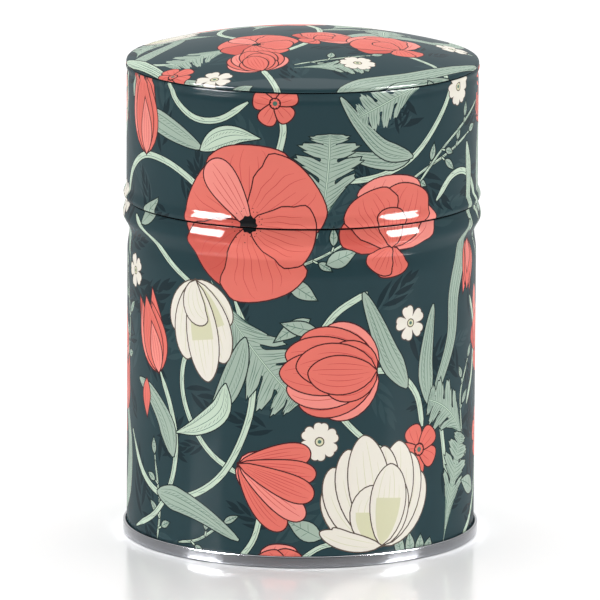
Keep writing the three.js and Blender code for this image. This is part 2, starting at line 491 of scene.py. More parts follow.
def pale_bloom(pen, size, petals=5):
    """A small pale flower with notched petals: each is two that lean apart."""
    half = Blade(size, size * 0.46, "petal", points=11).loop()
    turns = [360 * k / petals + lean for k in range(petals) for lean in (-11, 11)]
    pen.outlined([Pen([], 0, 0, turn=turn).sheet(half) for turn in turns], "cream", "bark", 0.8)
    bloom_eye(pen, size, "bark", "butter")


def tulip(pen, size):
    """A closed flower seen from the side, with pointed petals round a hidden heart."""
    for turn, reach, broad, tone, bend, veins, turned in (
        (15, 0.96, 0.3, "ember", -8, 3, None), (-14, 1, 0.3, "coral", 8, 3, None),
        (27, 0.9, 0.32, "coral", -34, 4, "blush"), (-27, 0.84, 0.32, "coral", 36, 4, None),
        (4, 0.92, 0.4, "coral", -6, 6, None), (-8, 0.6, 0.22, "blush", 10, 3, None),
    ):
        petal(pen, turn, size * reach, size * broad, tone, bend, shape="leaf", veins=veins, turned=turned)


def globe(pen, size):
    """A full flower seen from the side: overlapping petals that close over the heart."""
    for turn, reach, broad, tone, bend in (
        (-58, 0.8, 0.42, "blush", 40), (60, 0.78, 0.42, "blush", -42), (-40, 0.98, 0.46, "coral", 36),
        (42, 0.98, 0.46, "coral", -36), (-20, 1.08, 0.5, "coral", 20), (24, 1.06, 0.5, "blush", -22),
        (2, 1.12, 0.5, "coral", 0), (-52, 0.62, 0.36, "coral", 70), (50, 0.64, 0.34, "coral", -64),
        (-16, 0.94, 0.5, "coral", 26), (12, 0.8, 0.44, "coral", -20),
    ):
        petal(pen, turn, size * reach, size * broad, tone, bend, shape="flame", veins=5)


def side_poppy(pen, size):
    """A poppy seen from below and to the side: broad petals that overlap like a skirt."""
    petal(pen, -6, size * 1.22, size * 1.25, "blush", wave=0.05, veins=6)
    petal(pen, -62, size * 1.0, size * 0.9, "blush", bend=24, wave=0.04, veins=5)
    petal(pen, 60, size * 0.96, size * 0.86, "ember", bend=-20, wave=0.04, veins=6)
    petal(pen, -34, size * 1.12, size * 0.95, "coral", bend=12, wave=0.05, veins=6)
    petal(pen, 28, size * 1.06, size * 1.0, "coral", bend=-8, wave=0.05, veins=7)
    petal(pen, -176, size * 0.52, size * 0.62, "coral", wave=0.04, veins=5)
    petal(pen, 142, size * 0.5, size * 0.52, "coral", wave=0.04, veins=4)
    petal(pen, -4, size * 0.66, size * 0.52, "coral", wave=0.04, veins=5)


def lily(pen, size):
    """A hanging flower with long petals, two of which roll back at the tip."""
    petal(pen, 62, size * 0.8, size * 0.26, "blush", bend=-120, shape="bud", veins=3)
    petal(pen, -66, size * 0.7, size * 0.24, "blush", bend=120, shape="bud", veins=3)
    petal(pen, -44, size * 1.05, size * 0.34, "coral", bend=20, curl=10, veins=5)
    petal(pen, 40, size * 0.98, size * 0.32, "coral", bend=-14, veins=5)
    petal(pen, -20, size * 1.12, size * 0.32, "blush", bend=8, veins=4)
    petal(pen, 18, size * 1.04, size * 0.3, "coral", bend=-4, veins=5)
    petal(pen, 0, size * 1.08, size * 0.34, "coral", veins=6)


PALE = {"tone": "cream", "line": "bark", "vein": "butter", "shape": "flame"}


def lotus(pen, size):
    """A large pale blossom: pointed, split petals, yellow at the heart."""
    for turn, reach, broad, bend, split in (
        (-62, 0.86, 0.36, 44, True), (64, 0.86, 0.34, -46, True), (-46, 0.98, 0.4, 40, False),
        (50, 0.98, 0.4, -40, True), (-28, 1.06, 0.42, 24, True), (30, 1.06, 0.4, -26, True),
        (-12, 1.0, 0.34, 12, False), (10, 1.14, 0.44, -8, True), (-44, 0.74, 0.34, 56, True),
    ):
        petal(pen, turn, size * reach, size * broad, bend=bend, split=split, veins=4, **PALE)
    petal(pen, 46, size * 0.66, size * 0.36, bend=-70, curl=-40, veins=4, shade="butter", **PALE)
    petal(pen, -20, size * 0.82, size * 0.4, bend=16, veins=5, shade="butter", **PALE)
    petal(pen, 82, size * 0.66, size * 0.18, bend=-20, split=True, veins=2, **PALE)


def pale_bell(pen, size):
    """A pale hanging flower with split petals."""
    petal(pen, 52, size * 0.6, size * 0.24, bend=-36, split=True, veins=2, **PALE)
    petal(pen, -58, size * 0.62, size * 0.26, bend=36, split=True, veins=2, **PALE)
    petal(pen, 20, size * 0.9, size * 0.36, bend=-16, split=True, veins=4, shade="butter", **PALE)
    petal(pen, -30, size * 0.84, size * 0.36, bend=20, split=True, veins=4, **PALE)
    petal(pen, -4, size * 1.05, size * 0.38, bend=2, split=True, veins=5, shade="butter", **PALE)
    petal(pen, -40, size * 0.5, size * 0.26, bend=66, curl=50, veins=3, **PALE)


def ghost_fan(pen, size, tone):
    """Tone-on-tone foliage in the ground."""
    for k, turn in enumerate((38, -34, 30, -28, 20, -4)):
        leaf = Blade(size * (0.72 - 0.06 * k), size * 0.12, "leaf", -turn * 0.7, points=8)
        pen.at((0, size * 0.17 * k), turn).fill(leaf.loop(), tone)


# --------------------------------------------------------------------------------------------------
# Where it stands on the sheet: millimetres round the tin from its front, and the height on the tin


def draw_wall(pen):
    """One repeat of the print of the body and the lid's wall."""
    chance = random.Random(11)
    for k in range(110):
        place = (chance.uniform(-66, 66), chance.uniform(3, 113))
        tone = "shade" if k % 3 else "haze"
        ghost_fan(pen.at(place, chance.uniform(0, 360)), chance.uniform(7, 15), tone)

    # Thin stems and twigs behind everything
    twig(pen, [(24, 90), (32, 94), (41, 97), (50, 100)], 5)
    twig(pen, [(30, 91), (38, 98), (48, 103), (58, 107)], 3, 3.6)
    twig(pen, [(-2, 72), (5, 75), (11, 79)], 3, 4.2)
    twig(pen, [(47, 16), (49, 26), (48, 37), (52, 44)], 5, 3.8)
    twig(pen, [(-40, 3), (-39, 11), (-41, 22)], 5, 3.9)
    twig(pen, [(-32, 3.5), (-26, 5), (-20, 9)], 3, 3.6)
    twig(pen, [(-60, 40), (-57, 52), (-60, 64)], 5, 4)
    twig(pen, [(62, 68), (58, 76), (60, 84)], 3, 4)

    # Stems
    stem(pen, [(-58, 82), (-54, 90), (-46, 95), (-37, 95), (-29, 92), (-22, 87)], 1.5)
    stem(pen, [(-36, 115), (-33, 110), (-27, 106.5), (-20, 107), (-13, 111.5)], 1.4)
    stem(pen, [(-5.5, 110), (-4.5, 105), (-6, 98)], 1.5)
    stem(pen, [(43, 115), (38, 107), (29, 98), (20, 94), (10, 92.5)], 1.3)
    stem(pen, [(36, 86), (42, 91), (49, 91), (55, 86), (58, 78)], 1.5)
    stem(pen, [(-50, 80), (-42, 75), (-34, 70), (-27, 66)], 1.2)
    stem(pen, [(-25, 55), (-30, 49), (-31, 41), (-28, 33), (-22, 26), (-13, 21)], 1.2)
    stem(pen, [(-17, 66), (-13, 55), (-11.5, 45), (-13, 34), (-19, 22), (-28, 15.5), (-38, 14), (-47, 18),
               (-54, 27)], 1.5)
    stem(pen, [(-39, 44), (-35, 36), (-33, 27), (-35, 17), (-41, 9), (-51, 4)], 1.3)
    stem(pen, [(16, 66), (8, 61), (3, 53), (2, 46)], 1.5)
    stem(pen, [(17, 47), (24, 46), (30, 40), (32, 32)], 1.5)
    stem(pen, [(8, 38), (15, 31), (22, 27), (30, 26)], 1.3)
    stem(pen, [(-15, 1), (-11, 7), (-9, 16)], 1.3)
    stem(pen, [(-1, 1), (5, 5), (12, 6)], 1.1)
    stem(pen, [(38, 35), (40, 25), (42, 14)], 1.3)
    stem(pen, [(50, 2), (56, 6), (62, 14), (64, 25)], 1.3)
    stem(pen, [(54, 60), (58, 52), (57, 42), (52, 34)], 1.3)
    stem(pen, [(-64, 96), (-60, 104), (-60, 114)], 1.3)

    # Leaves
    folded_strap(pen, [(-49, 104), (-42, 104.6), (-34, 102.6), (-25, 99.4)],
                 [(-25.5, 99), (-21, 102), (-16, 103.5), (-10, 103)], 5.4)
    strap(pen, [(27, 97), (18, 97.5), (10, 99.5)], 4.6, lines=4)
    strap(pen, [(28, 97.5), (20, 100), (14, 106), (9, 113)], 4.4)
    cut_leaf(pen.at((3.5, 79.5), -14), 25, 19, 4, 14)
    cut_leaf(pen.at((34, 116), 108), 22, 13, 4, 6)
    simple_leaf(pen.at((-46, 78.5), -48), 9.5, 4.2, 12)
    strap(pen, [(50, 98), (51.5, 90), (51, 82), (52, 76)], 3.2, "mist")
    strap(pen, [(51, 79), (47, 70), (44, 62), (43, 52), (38, 42), (35, 36)], 5.2)
    strap(pen, [(34, 37), (33, 46), (34, 54), (35.5, 61)], 4.8)
    strap(pen, [(27, 42), (22, 50), (18.5, 58), (15, 66)], 6.0)
    cut_leaf(pen.at((-22.5, 68), -149), 36, 21, 5, 14)
    folded_strap(pen, [(-13.5, 55), (-15.5, 48), (-18.5, 41), (-22, 37)],
                 [(-18.5, 43.5), (-20, 37), (-26, 32.5), (-33, 30)], 5.6)
    strap(pen, [(-34, 24), (-37, 32), (-43, 38), (-49, 40.5)], 5.6, lines=3)
    simple_leaf(pen.at((2, 60), 118), 10, 3.6, 10)
    simple_leaf(pen.at((4, 57), 82), 9, 3.4, -8)
    simple_leaf(pen.at((-3, 69), -128), 8, 3.8, 8)
    simple_leaf(pen.at((6, 73), -70), 8, 4.2, 8)
    cut_leaf(pen.at((50, 24), 22), 22, 15, 4, 52)
    cut_leaf(pen.at((40, 2), -14), 27, 14, 4, -8)
    strap(pen, [(-40, 14.5), (-32, 13.6), (-24, 11), (-15, 6)], 6.0, lines=4)
    simple_leaf(pen.at((5, 7), 62), 9, 4.6)
    for k in range(4):
        simple_leaf(pen.at((26 + 2.6 * k, 1), 16 - 11 * k), 7 - 1.1 * k, 2.6)
    cut_leaf(pen.at((-56, 66), 26), 24, 15, 4, 20)
    strap(pen, [(-63, 6), (-58, 14), (-57, 24), (-61, 34)], 5.6)
    strap(pen, [(64, 78), (61, 90), (63, 100), (68, 106)], 5.0)
    simple_leaf(pen.at((58, 12), 60), 10, 4.4, 12)
    simple_leaf(pen.at((-53, 108), -30), 8, 3.8)

    # Flowers
    tulip(pen.at((-45, 95.5), 6), 22)
    bloom(pen.at((-6.5, 111.5), 8), 5.6)
    poppy(pen.at((-12.6, 82.4), 18), 18.5)
    side_poppy(pen.at((22, 76.5), 4), 14)
    pale_bell(pen.at((-27, 67.5), 192), 23)
    tulip(pen.at((-39.5, 43.5), 18), 20)
    petal(pen.at((-45, 41), 176), 0, 9, 3.4, "coral", shape="leaf", bend=10, veins=2)
    globe(pen.at((18.5, 47), 88), 21)
    pale_bloom(pen.at((28, 57.5), 16), 4.2)
    pale_bloom(pen.at((4.5, 30.5), -6), 4.6, 6)
    bloom(pen.at((31, 26.5), 24), 6.4)
    lotus(pen.at((20, 4.5), 4), 24)
    lily(pen.at((-15, 24.5), -112), 18)
    side_poppy(pen.at((-5, -3), 4), 7)
    tulip(pen.at((53, 74), 172), 13)
    petal(pen.at((59, 62), 184), 0, 10, 3.6, "blush", shape="leaf", veins=2)
    lily(pen.at((58, 103), -60), 14)
    side_poppy(pen.at((63, 45), -20), 9.5)
    pale_bloom(pen.at((-61, 82), 30), 4.4)
    bloom(pen.at((64, 25), 5), 6.2)
    pale_bloom(pen.at((-52, 66), 20), 4.0)
    tulip(pen.at((-62, 30), -6), 15)
    pale_bloom(pen.at((45, 112), 40), 4.4, 6)


def draw_crown(pen):
    """The print of the crown: the front is down."""
    chance = random.Random(5)
    for k in range(30):
        a, r = chance.uniform(0, 2 * math.pi), 40 * math.sqrt(chance.random())
        place = (r * math.cos(a), r * math.sin(a))
        ghost_fan(pen.at(place, chance.uniform(0, 360)), chance.uniform(6, 12), "shade" if k % 3 else "haze")
    twig(pen, [(-2, -28), (6, -24), (15, -19)], 4, 4)
    twig(pen, [(-32, 12), (-36, 20), (-33, 27)], 4, 4)
    stem(pen, [(-9.5, -31), (-7.5, -37), (-5.5, -45)], 1.4)
    stem(pen, [(-43, -10), (-33, -18), (-26, -19), (-20, -14)], 1.2)
    stem(pen, [(24, -14), (32, -20), (36, -30)], 1.2)
    stem(pen, [(-4, -18), (2, -8), (4, 6), (0, 20)], 1.3)
    stem(pen, [(4, 6), (16, 12), (26, 11)], 1.2)
    stem(pen, [(-14, -6), (-20, 6), (-18, 20)], 1.2)
    strap(pen, [(-43, -14), (-37, -6), (-31, 2), (-28, 10)], 5.0)
    strap(pen, [(8, -44), (15, -38), (26, -30), (36, -18), (43, -8)], 6.0)
    strap(pen, [(20, -40), (28, -33), (37, -24)], 4.4)
    strap(pen, [(30, 4), (37, 12), (36, 22)], 5.0)
    strap(pen, [(-6, 24), (-14, 31), (-25, 34)], 5.0)
    strap(pen, [(-43, -4), (-36, -20), (-32, -30)], 3.6, "mist")
    strap(pen, [(-12, -40), (-20, -42), (-28, -36)], 3.6)
    strap(pen, [(10, -2), (18, 4), (30, 6), (41, 2)], 5.0)
    strap(pen, [(-30, 22), (-22, 18), (-14, 19), (-8, 24)], 4.4)
    strap(pen, [(8, 40), (16, 38), (26, 37), (34, 31)], 4.6)
    cut_leaf(pen.at((-14, -12), 112), 20, 15, 4, 10)
    cut_leaf(pen.at((-12, 8), -20), 19, 14, 4, 12)
    cut_leaf(pen.at((20, -2), 8), 18, 13, 4, -14)
    cut_leaf(pen.at((-40, -4), -8), 17, 12, 4, -20)
    cut_leaf(pen.at((-2, -30), -78), 18, 11, 4, -8)
    cut_leaf(pen.at((6, 8), -30), 22, 15, 4, 20)
    cut_leaf(pen.at((-20, 4), 66), 18, 12, 3, -10)
    simple_leaf(pen.at((-24, -36), 60), 9, 4)
    simple_leaf(pen.at((30, -30), -120), 9, 4)
    poppy(pen.at((-11, -11), 20), 10)
    side_poppy(pen.at((3, -7), -30), 8)
    side_poppy(pen.at((23, -10), 52), 11)
    globe(pen.at((-9.5, -31), 12), 13)
    pale_bloom(pen.at((-21, -34), 8), 4.4)
    pale_bloom(pen.at((13, -25), 30), 4.2, 6)
    bloom(pen.at((-31, -28), 8), 5.2)
    lotus(pen.at((-38, 14), -80), 12)
    lotus(pen.at((14, 22), -20), 15)
    poppy(pen.at((-4, 26), 50), 10)
    tulip(pen.at((30, 26), -40), 13)
    pale_bloom(pen.at((2, 38), 0), 4.4, 6)
    bloom(pen.at((-22, 24), 14), 5.4)
    pale_bloom(pen.at((36, 4), 14), 4.0)


# --------------------------------------------------------------------------------------------------
# From the drawing to the rolled sheet


def clipped(loop, direction, limit):
    """The part of a loop on the near side of a line."""
    over = loop @ np.asarray(direction, float) - limit
    if (over <= 0).all():
        return loop
    if (over > 0).all():
        return loop[:0]
    out = []
    for i in range(len(loop)):
        a, b = over[i - 1], over[i]
        if (a <= 0) != (b <= 0):
            out.append(loop[i - 1] + (loop[i] - loop[i - 1]) * a / (a - b))
        if b <= 0:
            out.append(loop[i])
    return np.array(out)


def thinned(loop, slack):
    """A loop without the points that its neighbours can do without."""
    for _ in range(4):
        if len(loop) < 6:
            break
        before, after = np.roll(loop, 1, axis=0), np.roll(loop, -1, axis=0)
        span = after - before
        reach = np.maximum(np.linalg.norm(span, axis=1), 1e-9)
        off = np.abs(span[:, 0] * (loop - before)[:, 1] - span[:, 1] * (loop - before)[:, 0]) / reach
        spare = (off < slack) & (reach < 4.0)
        spare[1::2] &= ~(spare[0:-1:2] | np.roll(spare, -1)[1::2])
        loop = loop[~spare]
    return loop


def laid_out(paints, limits, slack):
    """The drawing, thinned and clipped to the sheet."""
    kept = []
    for loop, colour in paints:
        loop = thinned(loop, slack)
        for direction, limit in limits:
            if len(loop):
                loop = clipped(loop, direction, limit)
        if len(loop) > 2 and abs(area(loop)) > 2e-3:
            kept.append((np.roll(loop, -np.lexsort((loop[:, 1], loop[:, 0]))[0], axis=0), colour))
    return kept


def straightened(points, pairs, slack):
    """The lines between inks, without the points that lie on a straight run of them."""
    links = {}
    for a, b in pairs:
        links.setdefault(a, set()).add(b)
        links.setdefault(b, set()).add(a)
    for _ in range(4):
        held = set()
        for here in list(links):
            if len(links[here]) != 2 or here in held:
                continue
            a, b = links[here]
            (ax, ay), (bx, by), (x, y) = points[a], points[b], points[here]
            span = math.hypot(bx - ax, by - ay)
            off = abs((bx - ax) * (y - ay) - (by - ay) * (x - ax))
            if b in links[a] or off > slack * span:
                continue
            del links[here]
            links[a].remove(here)
            links[b].remove(here)
            links[a].add(b)
            links[b].add(a)
            held.update((a, b))
    return [(a, b) for a in links for b in links[a] if a < b]


def ink_borders(triangles, colours):
    """The edges that have a different ink on each side."""
    edges = np.sort(np.vstack([triangles[:, [0, 1]], triangles[:, [1, 2]], triangles[:, [2, 0]]]), axis=1)
    beside = np.tile(colours, 3)
    order = np.lexsort((edges[:, 1], edges[:, 0]))
    edges, beside = edges[order], beside[order]
    shared = (edges[1:] == edges[:-1]).all(axis=1) & (beside[1:] != beside[:-1])
    return edges[1:][shared].tolist()


def first_cut(outline, paints):
    """Cuts a sheet along every shape. Returns the points, the triangles and the ink that shows on each.

    A shape that the cut spreads past its own outline is left out."""
    points, faces, inks_of = list(outline), [list(range(len(outline)))], [INKS.index("ground")]
    for loop, colour in paints:
        faces.append(list(range(len(points), len(points) + len(loop))))
        inks_of.append(BARE if colour == "bare" else INKS.index(colour))
        points.extend(loop)
    cut = delaunay_2d_cdt([Vector(p) for p in points], [], faces, 0, WELD, True)
    places = np.array([tuple(p) for p in cut[0]])
    triangles = np.array(cut[2])
    a, b, c = (places[triangles[:, k]] for k in range(3))
    sizes = 0.5 * np.abs((b - a)[:, 0] * (c - a)[:, 1] - (b - a)[:, 1] * (c - a)[:, 0])
    covered = [0.0] * len(faces)
    for size, inside in zip(sizes.tolist(), cut[5]):
        for shape in inside:
            covered[shape] += size
    spilt = {i for i, (loop, _) in enumerate(paints, 1) if covered[i] > 1.3 * abs(area(loop)) + 0.1}
    shapes = [max((i for i in inside if i not in spilt), default=-1) for inside in cut[5]]
    shown = [i >= 0 for i in shapes]
    return [tuple(p) for p in places], triangles[shown], np.array([inks_of[i] for i in shapes if i >= 0])


def cut_sheet(outline, paints, grid):
    """Cuts a sheet along the borders of its inks and along the lines of a grid.

    It is cut twice: the first cut finds which shapes show, and the second leaves the hidden ones out.
    Returns the points, the triangles and the ink of each triangle."""
    places, triangles, colours = first_cut(outline, paints)
    borders = straightened(places, ink_borders(triangles, colours), SLACK / 2)
    used = {old: new for new, old in enumerate(sorted({i for pair in borders for i in pair}))}
    points = [places[i] for i in used]
    edges = [(used[a], used[b]) for a, b in borders]
    for line in grid:
        edges.extend((len(points) + i, len(points) + i + 1) for i in range(len(line) - 1))
        points.extend(line)
    rim = list(range(len(points), len(points) + len(outline)))
    points.extend(outline)
    cut = delaunay_2d_cdt([Vector(p) for p in points], edges, [rim], 0, WELD, True)
    flat = np.array([tuple(p) for p in cut[0]])
    kept = np.array([face for face, inside in zip(cut[2], cut[5]) if inside])
    tree = BVHTree.FromPolygons([(*p, 0) for p in places], triangles.tolist())
    found = [tree.find_nearest((x, y, 0))[2] for x, y in flat[kept].mean(axis=1)]
    return flat, kept, colours[found]


def snapped(values, stops):
    """Values that all but lie on a stop, put on it."""
    stops = np.asarray(stops)
    near = stops[np.abs(values[:, None] - stops[None, :]).argmin(1)]
    return np.where(np.abs(values - near) < 3e-3, near, values)


def outward(outline):
    """Unit normals of a closed section that runs up its outside, weighted by the length of the sides."""
    p = np.asarray(outline, float)
    step = np.roll(p, -1, axis=0) - p
    normal = np.stack([step[:, 1], -step[:, 0]], axis=1)
    both = normal + np.roll(normal, 1, axis=0)
    return both / np.maximum(np.linalg.norm(both, axis=1, keepdims=True), 1e-9)


def sheet_section(face):
    """The closed section of a bent sheet: the face that the points draw, and its other face."""
    p = np.asarray(face, float)
    other = []
    for i in range(len(p)):
        steps = [p[i] - p[i - 1]] if i else []
        steps += [p[i + 1] - p[i]] if i < len(p) - 1 else []
        left = [np.array([-s[1], s[0]]) / np.linalg.norm(s) for s in steps]
        middle = sum(left) / np.linalg.norm(sum(left))
        other.append(p[i] + middle * PLATE / max(float(middle @ left[0]), 0.5))
    other = np.array(other)
    other[:, 0] = np.where(p[:, 0] < 1e-6, 0.0, other[:, 0])
    return np.vstack([p, other[::-1]])


def columns_round(count):
    """Angles round the tin from the seam at the back, with narrow columns beside it."""
    even = list(np.linspace(-math.pi, math.pi, count + 1))
    reaches = (SIDE_SEAM, SEAM_REACH * SIDE_SEAM)
    beside = [side * (math.pi - reach / LID_RADIUS) for side in (-1, 1) for reach in reaches]
    return np.array(sorted(even + beside))


def round_tin(angle, radius, height):
    """Points or normals at angles round the tin. At angle 0 is its front."""
    turn = np.stack([np.sin(angle), -np.cos(angle)], axis=1)
    return np.column_stack([turn * np.reshape(radius, (-1, 1)), np.full(len(turn), height)])


def add_piece(name, points, normals, faces, colours, materials):
    """Joins points that coincide, and makes the mesh with its own normals."""
    _, first, which = np.unique(np.round(points, 5) + 0.0, axis=0, return_index=True, return_inverse=True)
    which = which.ravel()
    kept, kept_colours = [], []
    for face, colour in zip(faces, colours):
        ring = [int(which[i]) for i in face]
        ring = [v for k, v in enumerate(ring) if v != ring[k - 1]]
        if len(ring) > 2 and len(set(ring)) == len(ring):
            kept.append(ring)
            kept_colours.append(colour)
    mesh = bpy.data.meshes.new(name)
    mesh.from_pydata((points[first] * MM).tolist(), [], kept)
    mesh.polygons.foreach_set("material_index", np.array(kept_colours, dtype=np.int32))
    mesh.polygons.foreach_set("use_smooth", np.ones(len(kept), dtype=bool))
    for material in materials:
        mesh.materials.append(material)
    mesh.update()
    mesh.normals_split_custom_set_from_vertices(normals[first].tolist())
    piece = bpy.data.objects.new(name, mesh)
    bpy.context.scene.collection.objects.link(piece)
    return piece


def strip(section, normals, angles):
    """Points, normals and quads of a stretch of section that is rolled round the tin."""
    places = np.vstack([round_tin(angles, r, z) for r, z in section])
    facing = np.vstack([round_tin(angles, r, z) for r, z in normals])
    across = len(angles)
    quads = [
        (j * across + i, j * across + i + 1, (j + 1) * across + i + 1, (j + 1) * across + i)
        for j in range(len(section) - 1)
        for i in range(across - 1)
    ]
    return places, facing, quads


def closed_piece(name, front, back, angles, materials):
    """Makes a piece from its printed front and the bare section that closes it."""
    points, facing, triangles, colours = front
    more, more_facing, quads = strip(*back, angles)
    quads = [tuple(i + len(points) for i in quad) for quad in quads]
    faces = [tuple(t) for t in triangles] + quads
    colours = list(colours) + [BARE] * len(quads)
    points, facing = np.vstack([points, more]), np.vstack([facing, more_facing])
    return add_piece(name, points, facing, faces, colours, materials)


def wall_drawing(low, high, settings):
    """The print of a wall between two heights, and the bare strips of its side seam."""
    paints = []
    for shift in (-REPEAT, 0, REPEAT):
        draw_wall(Pen(paints, settings.outline / MM, settings.hatch / MM, (shift, 0)))
    strips = []
    for left in (-SHEET_HALF, SHEET_HALF - SIDE_SEAM):
        right = left + SIDE_SEAM
        strips.append((np.array([[left, low], [right, low], [right, high], [left, high]]), "bare"))
    side = SHEET_HALF - SEAM_REACH * SIDE_SEAM
    limits = (((1, 0), side), ((-1, 0), side), ((0, 1), high - PRINT_MARGIN), ((0, -1), PRINT_MARGIN - low))
    return strips + laid_out(paints, limits, SLACK)


def printed_wall(name, face, first, last, materials, settings):
    """A rolled wall. Its face is printed from one point to another, and bare the rest of the way round."""
    section = sheet_section(face)
    normals = outward(section)
    angles = columns_round(settings.columns)
    across = angles * LID_RADIUS
    low, high = section[first][1], section[last][1]
    rows = section[first:last + 1, 1]
    edge = [[-SHEET_HALF, low], [SHEET_HALF, low], [SHEET_HALF, high], [-SHEET_HALF, high]]
    grid = [[(u, low), (u, high)] for u in across] + [[(-SHEET_HALF, z), (SHEET_HALF, z)] for z in rows]
    flat, triangles, colours = cut_sheet(edge, wall_drawing(low, high, settings), grid)
    u, z = snapped(flat[:, 0], across), snapped(flat[:, 1], rows)
    radius = np.interp(z, rows, section[first:last + 1, 0])
    lean = [np.interp(z, rows, normals[first:last + 1, k]) for k in (0, 1)]
    # The side seam lies a little lower than the sheet, except near its ends
    from_seam = (SHEET_HALF - np.abs(u)) / SIDE_SEAM
    ends = np.clip(np.minimum(z - low, high - z) / 1.5, 0, 1)
    dip = settings.seam_depth / MM * ends * np.clip(SEAM_REACH - from_seam, 0, 1.2) / 1.2
    angle = u / LID_RADIUS
    front = (round_tin(angle, radius - dip, z), round_tin(angle, *lean), triangles, colours)
    back = [np.vstack([ring[last:], ring[:first + 1]]) for ring in (section, normals)]
    return closed_piece(name, front, back, angles, materials)


def beside(radius, z, steps):
    """Points at small steps outwards and upwards from a place on a section."""
    return [(radius + out, z + up) for out, up in steps]


def body_face():
    """The outside of the body's wall, from its foot to the curl round the mouth."""
    waist = beside(BODY_RADIUS, 0, ((0, 68.8), (-0.05, 69.9), (-0.17, 71.0), (-0.33, 72.1), (-0.46, 73.2),
                                    (-0.47, 74.2)))
    bead = beside(BODY_RADIUS, 0, ((0.1, 75.6), (0.75, 76.7), (1.05, 77.5), (1.07, 78.1), (0.92, 78.9),
                                   (0.65, 79.8), (0.32, SHOULDER_Z - 0.65)))
    curl = 0.65
    hook = [(BODY_RADIUS + 0.35, 2.1)] + arc(BODY_RADIUS + 0.175, 0.725, 0.175, 0, -180, 4)
    wall = [(BODY_RADIUS, 2.0), (BODY_RADIUS, 34.0)]
    beaded = [tuple(p) for p in smooth(waist + bead, steps=5)[:-1]]
    shoulder = arc(BODY_RADIUS - 0.02, SHOULDER_Z - 0.3, 0.3, 22, 90, 5)
    neck = arc(NECK_RADIUS + 0.3, SHOULDER_Z + 0.3, 0.3, -90, -180, 4)
    mouth = arc(NECK_RADIUS - curl, NECK_TOP - curl, curl, 0, 180, 10)
    face = hook + wall + beaded + shoulder
    first, last = len(hook), len(face) - 3
    face += neck + mouth + [(NECK_RADIUS - 2 * curl, NECK_TOP - curl - 0.45)]
    return face, first, last


def lid_face():
    """The outside of the lid's wall, from the hem inside its rim to its lip."""
    hem = 0.4
    inner = LID_RADIUS - PLATE
    lip_top = CROWN_EDGE - 0.2
    rim = arc(inner + hem, RIM_Z + hem, hem, 180, 350, 12)
    flare = beside(LID_RADIUS, RIM_Z, ((0.56, 0.42), (0.69, 0.8), (0.67, 1.25), (0.42, 1.95), (0.12, 2.6),
                                       (0.01, 3.1), (0, 3.8)))
    wall = [(LID_RADIUS, 0.5 * (RIM_Z + CROWN_EDGE))]
    groove = beside(LID_RADIUS, CROWN_EDGE, ((0, -3.6), (-0.03, -2.9), (-0.13, -1.9), (0.06, -1.15),
                                             (0.18, -0.75)))
    lip = arc(LID_RADIUS - 0.2, lip_top - 0.4, 0.4, 10, 90, 6)
    start = [(inner, RIM_Z + 1.75)]
    face = start + rim[:-1]
    first = len(face) - 2
    face += [tuple(p) for p in smooth(flare, steps=4)] + wall
    face += [tuple(p) for p in smooth(groove, steps=4)] + lip
    return face, first, len(face) - 3


def crown_face():
    """The outside of the crown, from the foot of its skirt to its middle."""
    skirt = LID_RADIUS - 0.23 - PLATE - LAP
    bead = 0.8
    bead_radius, bead_z = LID_RADIUS + 0.1 - bead, CROWN_EDGE + 0.25
    reach = bead_radius + 0.22
    rise = CROWN_TOP - (bead_z + 0.77)
    sphere = (reach**2 + rise**2) / (2 * rise)
    face = [(skirt, CROWN_FOOT)]
    face += beside(skirt, CROWN_EDGE, ((0, -0.55), (0.04, -0.32), (0.14, -0.15), (0.3, -0.07)))
    first = len(face)
    face += arc(bead_radius, bead_z, bead, -18, 74, 12)
    for share in (0.975, 0.93, 0.86, 0.76, 0.64, 0.5, 0.36, 0.22, 0.1, 0):
        radius = share * reach
        face.append((radius, CROWN_TOP - sphere + math.sqrt(sphere**2 - radius**2)))
    return face, first


def printed_crown(name, materials, settings):
    """The domed crown, drawn on a round blank that is measured along the bent sheet from its middle."""
    face, first = crown_face()
    section = sheet_section(face)
    normals = outward(section)
    last = len(face) - 1
    normals[last] = (0, 1)
    normals[last + 1] = (0, -1)
    top = section[first:last + 1][::-1]
    reach = np.concatenate([[0], np.cumsum(np.linalg.norm(np.diff(top, axis=0), axis=1))])
    angles = np.linspace(-math.pi, math.pi, settings.columns + 1)
    turn = np.stack([np.sin(angles[:-1]), -np.cos(angles[:-1])], axis=1)
    rings = []
    for r in reach[1:]:
        every = 1 if r > 20 else 3
        ring = turn[::every] * r
        rings.append(np.vstack([ring, ring[:1]]))
    edge = turn * reach[-1]
    spokes = [[turn[i] * reach[-1], turn[i] * reach[-13]] for i in range(len(turn))]
    paints = []
    draw_crown(Pen(paints, settings.outline / MM, settings.hatch / MM))
    limit = (reach[-1] - 0.08) * math.cos(math.pi / 120)
    limits = [((math.cos(a), math.sin(a)), limit) for a in np.linspace(0, 2 * np.pi, 120, endpoint=False)]
    kept = laid_out(paints, limits, SLACK)
    flat, triangles, colours = cut_sheet(edge, kept, rings[:-1] + spokes)
    s = np.linalg.norm(flat, axis=1)
    angle = np.arctan2(flat[:, 0], -flat[:, 1])
    rim = s > reach[-1] - 0.03
    s = np.where(rim, reach[-1], s)
    nearest = angles[np.abs(angle[:, None] - angles[None, :]).argmin(1)]
    angle = np.where(rim, nearest, angle)
    top_normals = normals[first:last + 1][::-1]
    place = [np.interp(s, reach, top[:, k]) for k in (0, 1)]
    lean = [np.interp(s, reach, top_normals[:, k]) for k in (0, 1)]
    front = (round_tin(angle, *place), round_tin(angle, *lean), triangles, colours)
    back = [np.vstack([ring[last + 1:], ring[:first + 1]]) for ring in (section, normals)]
    return closed_piece(name, front, back, angles, materials)


# --------------------------------------------------------------------------------------------------
# Turned pieces


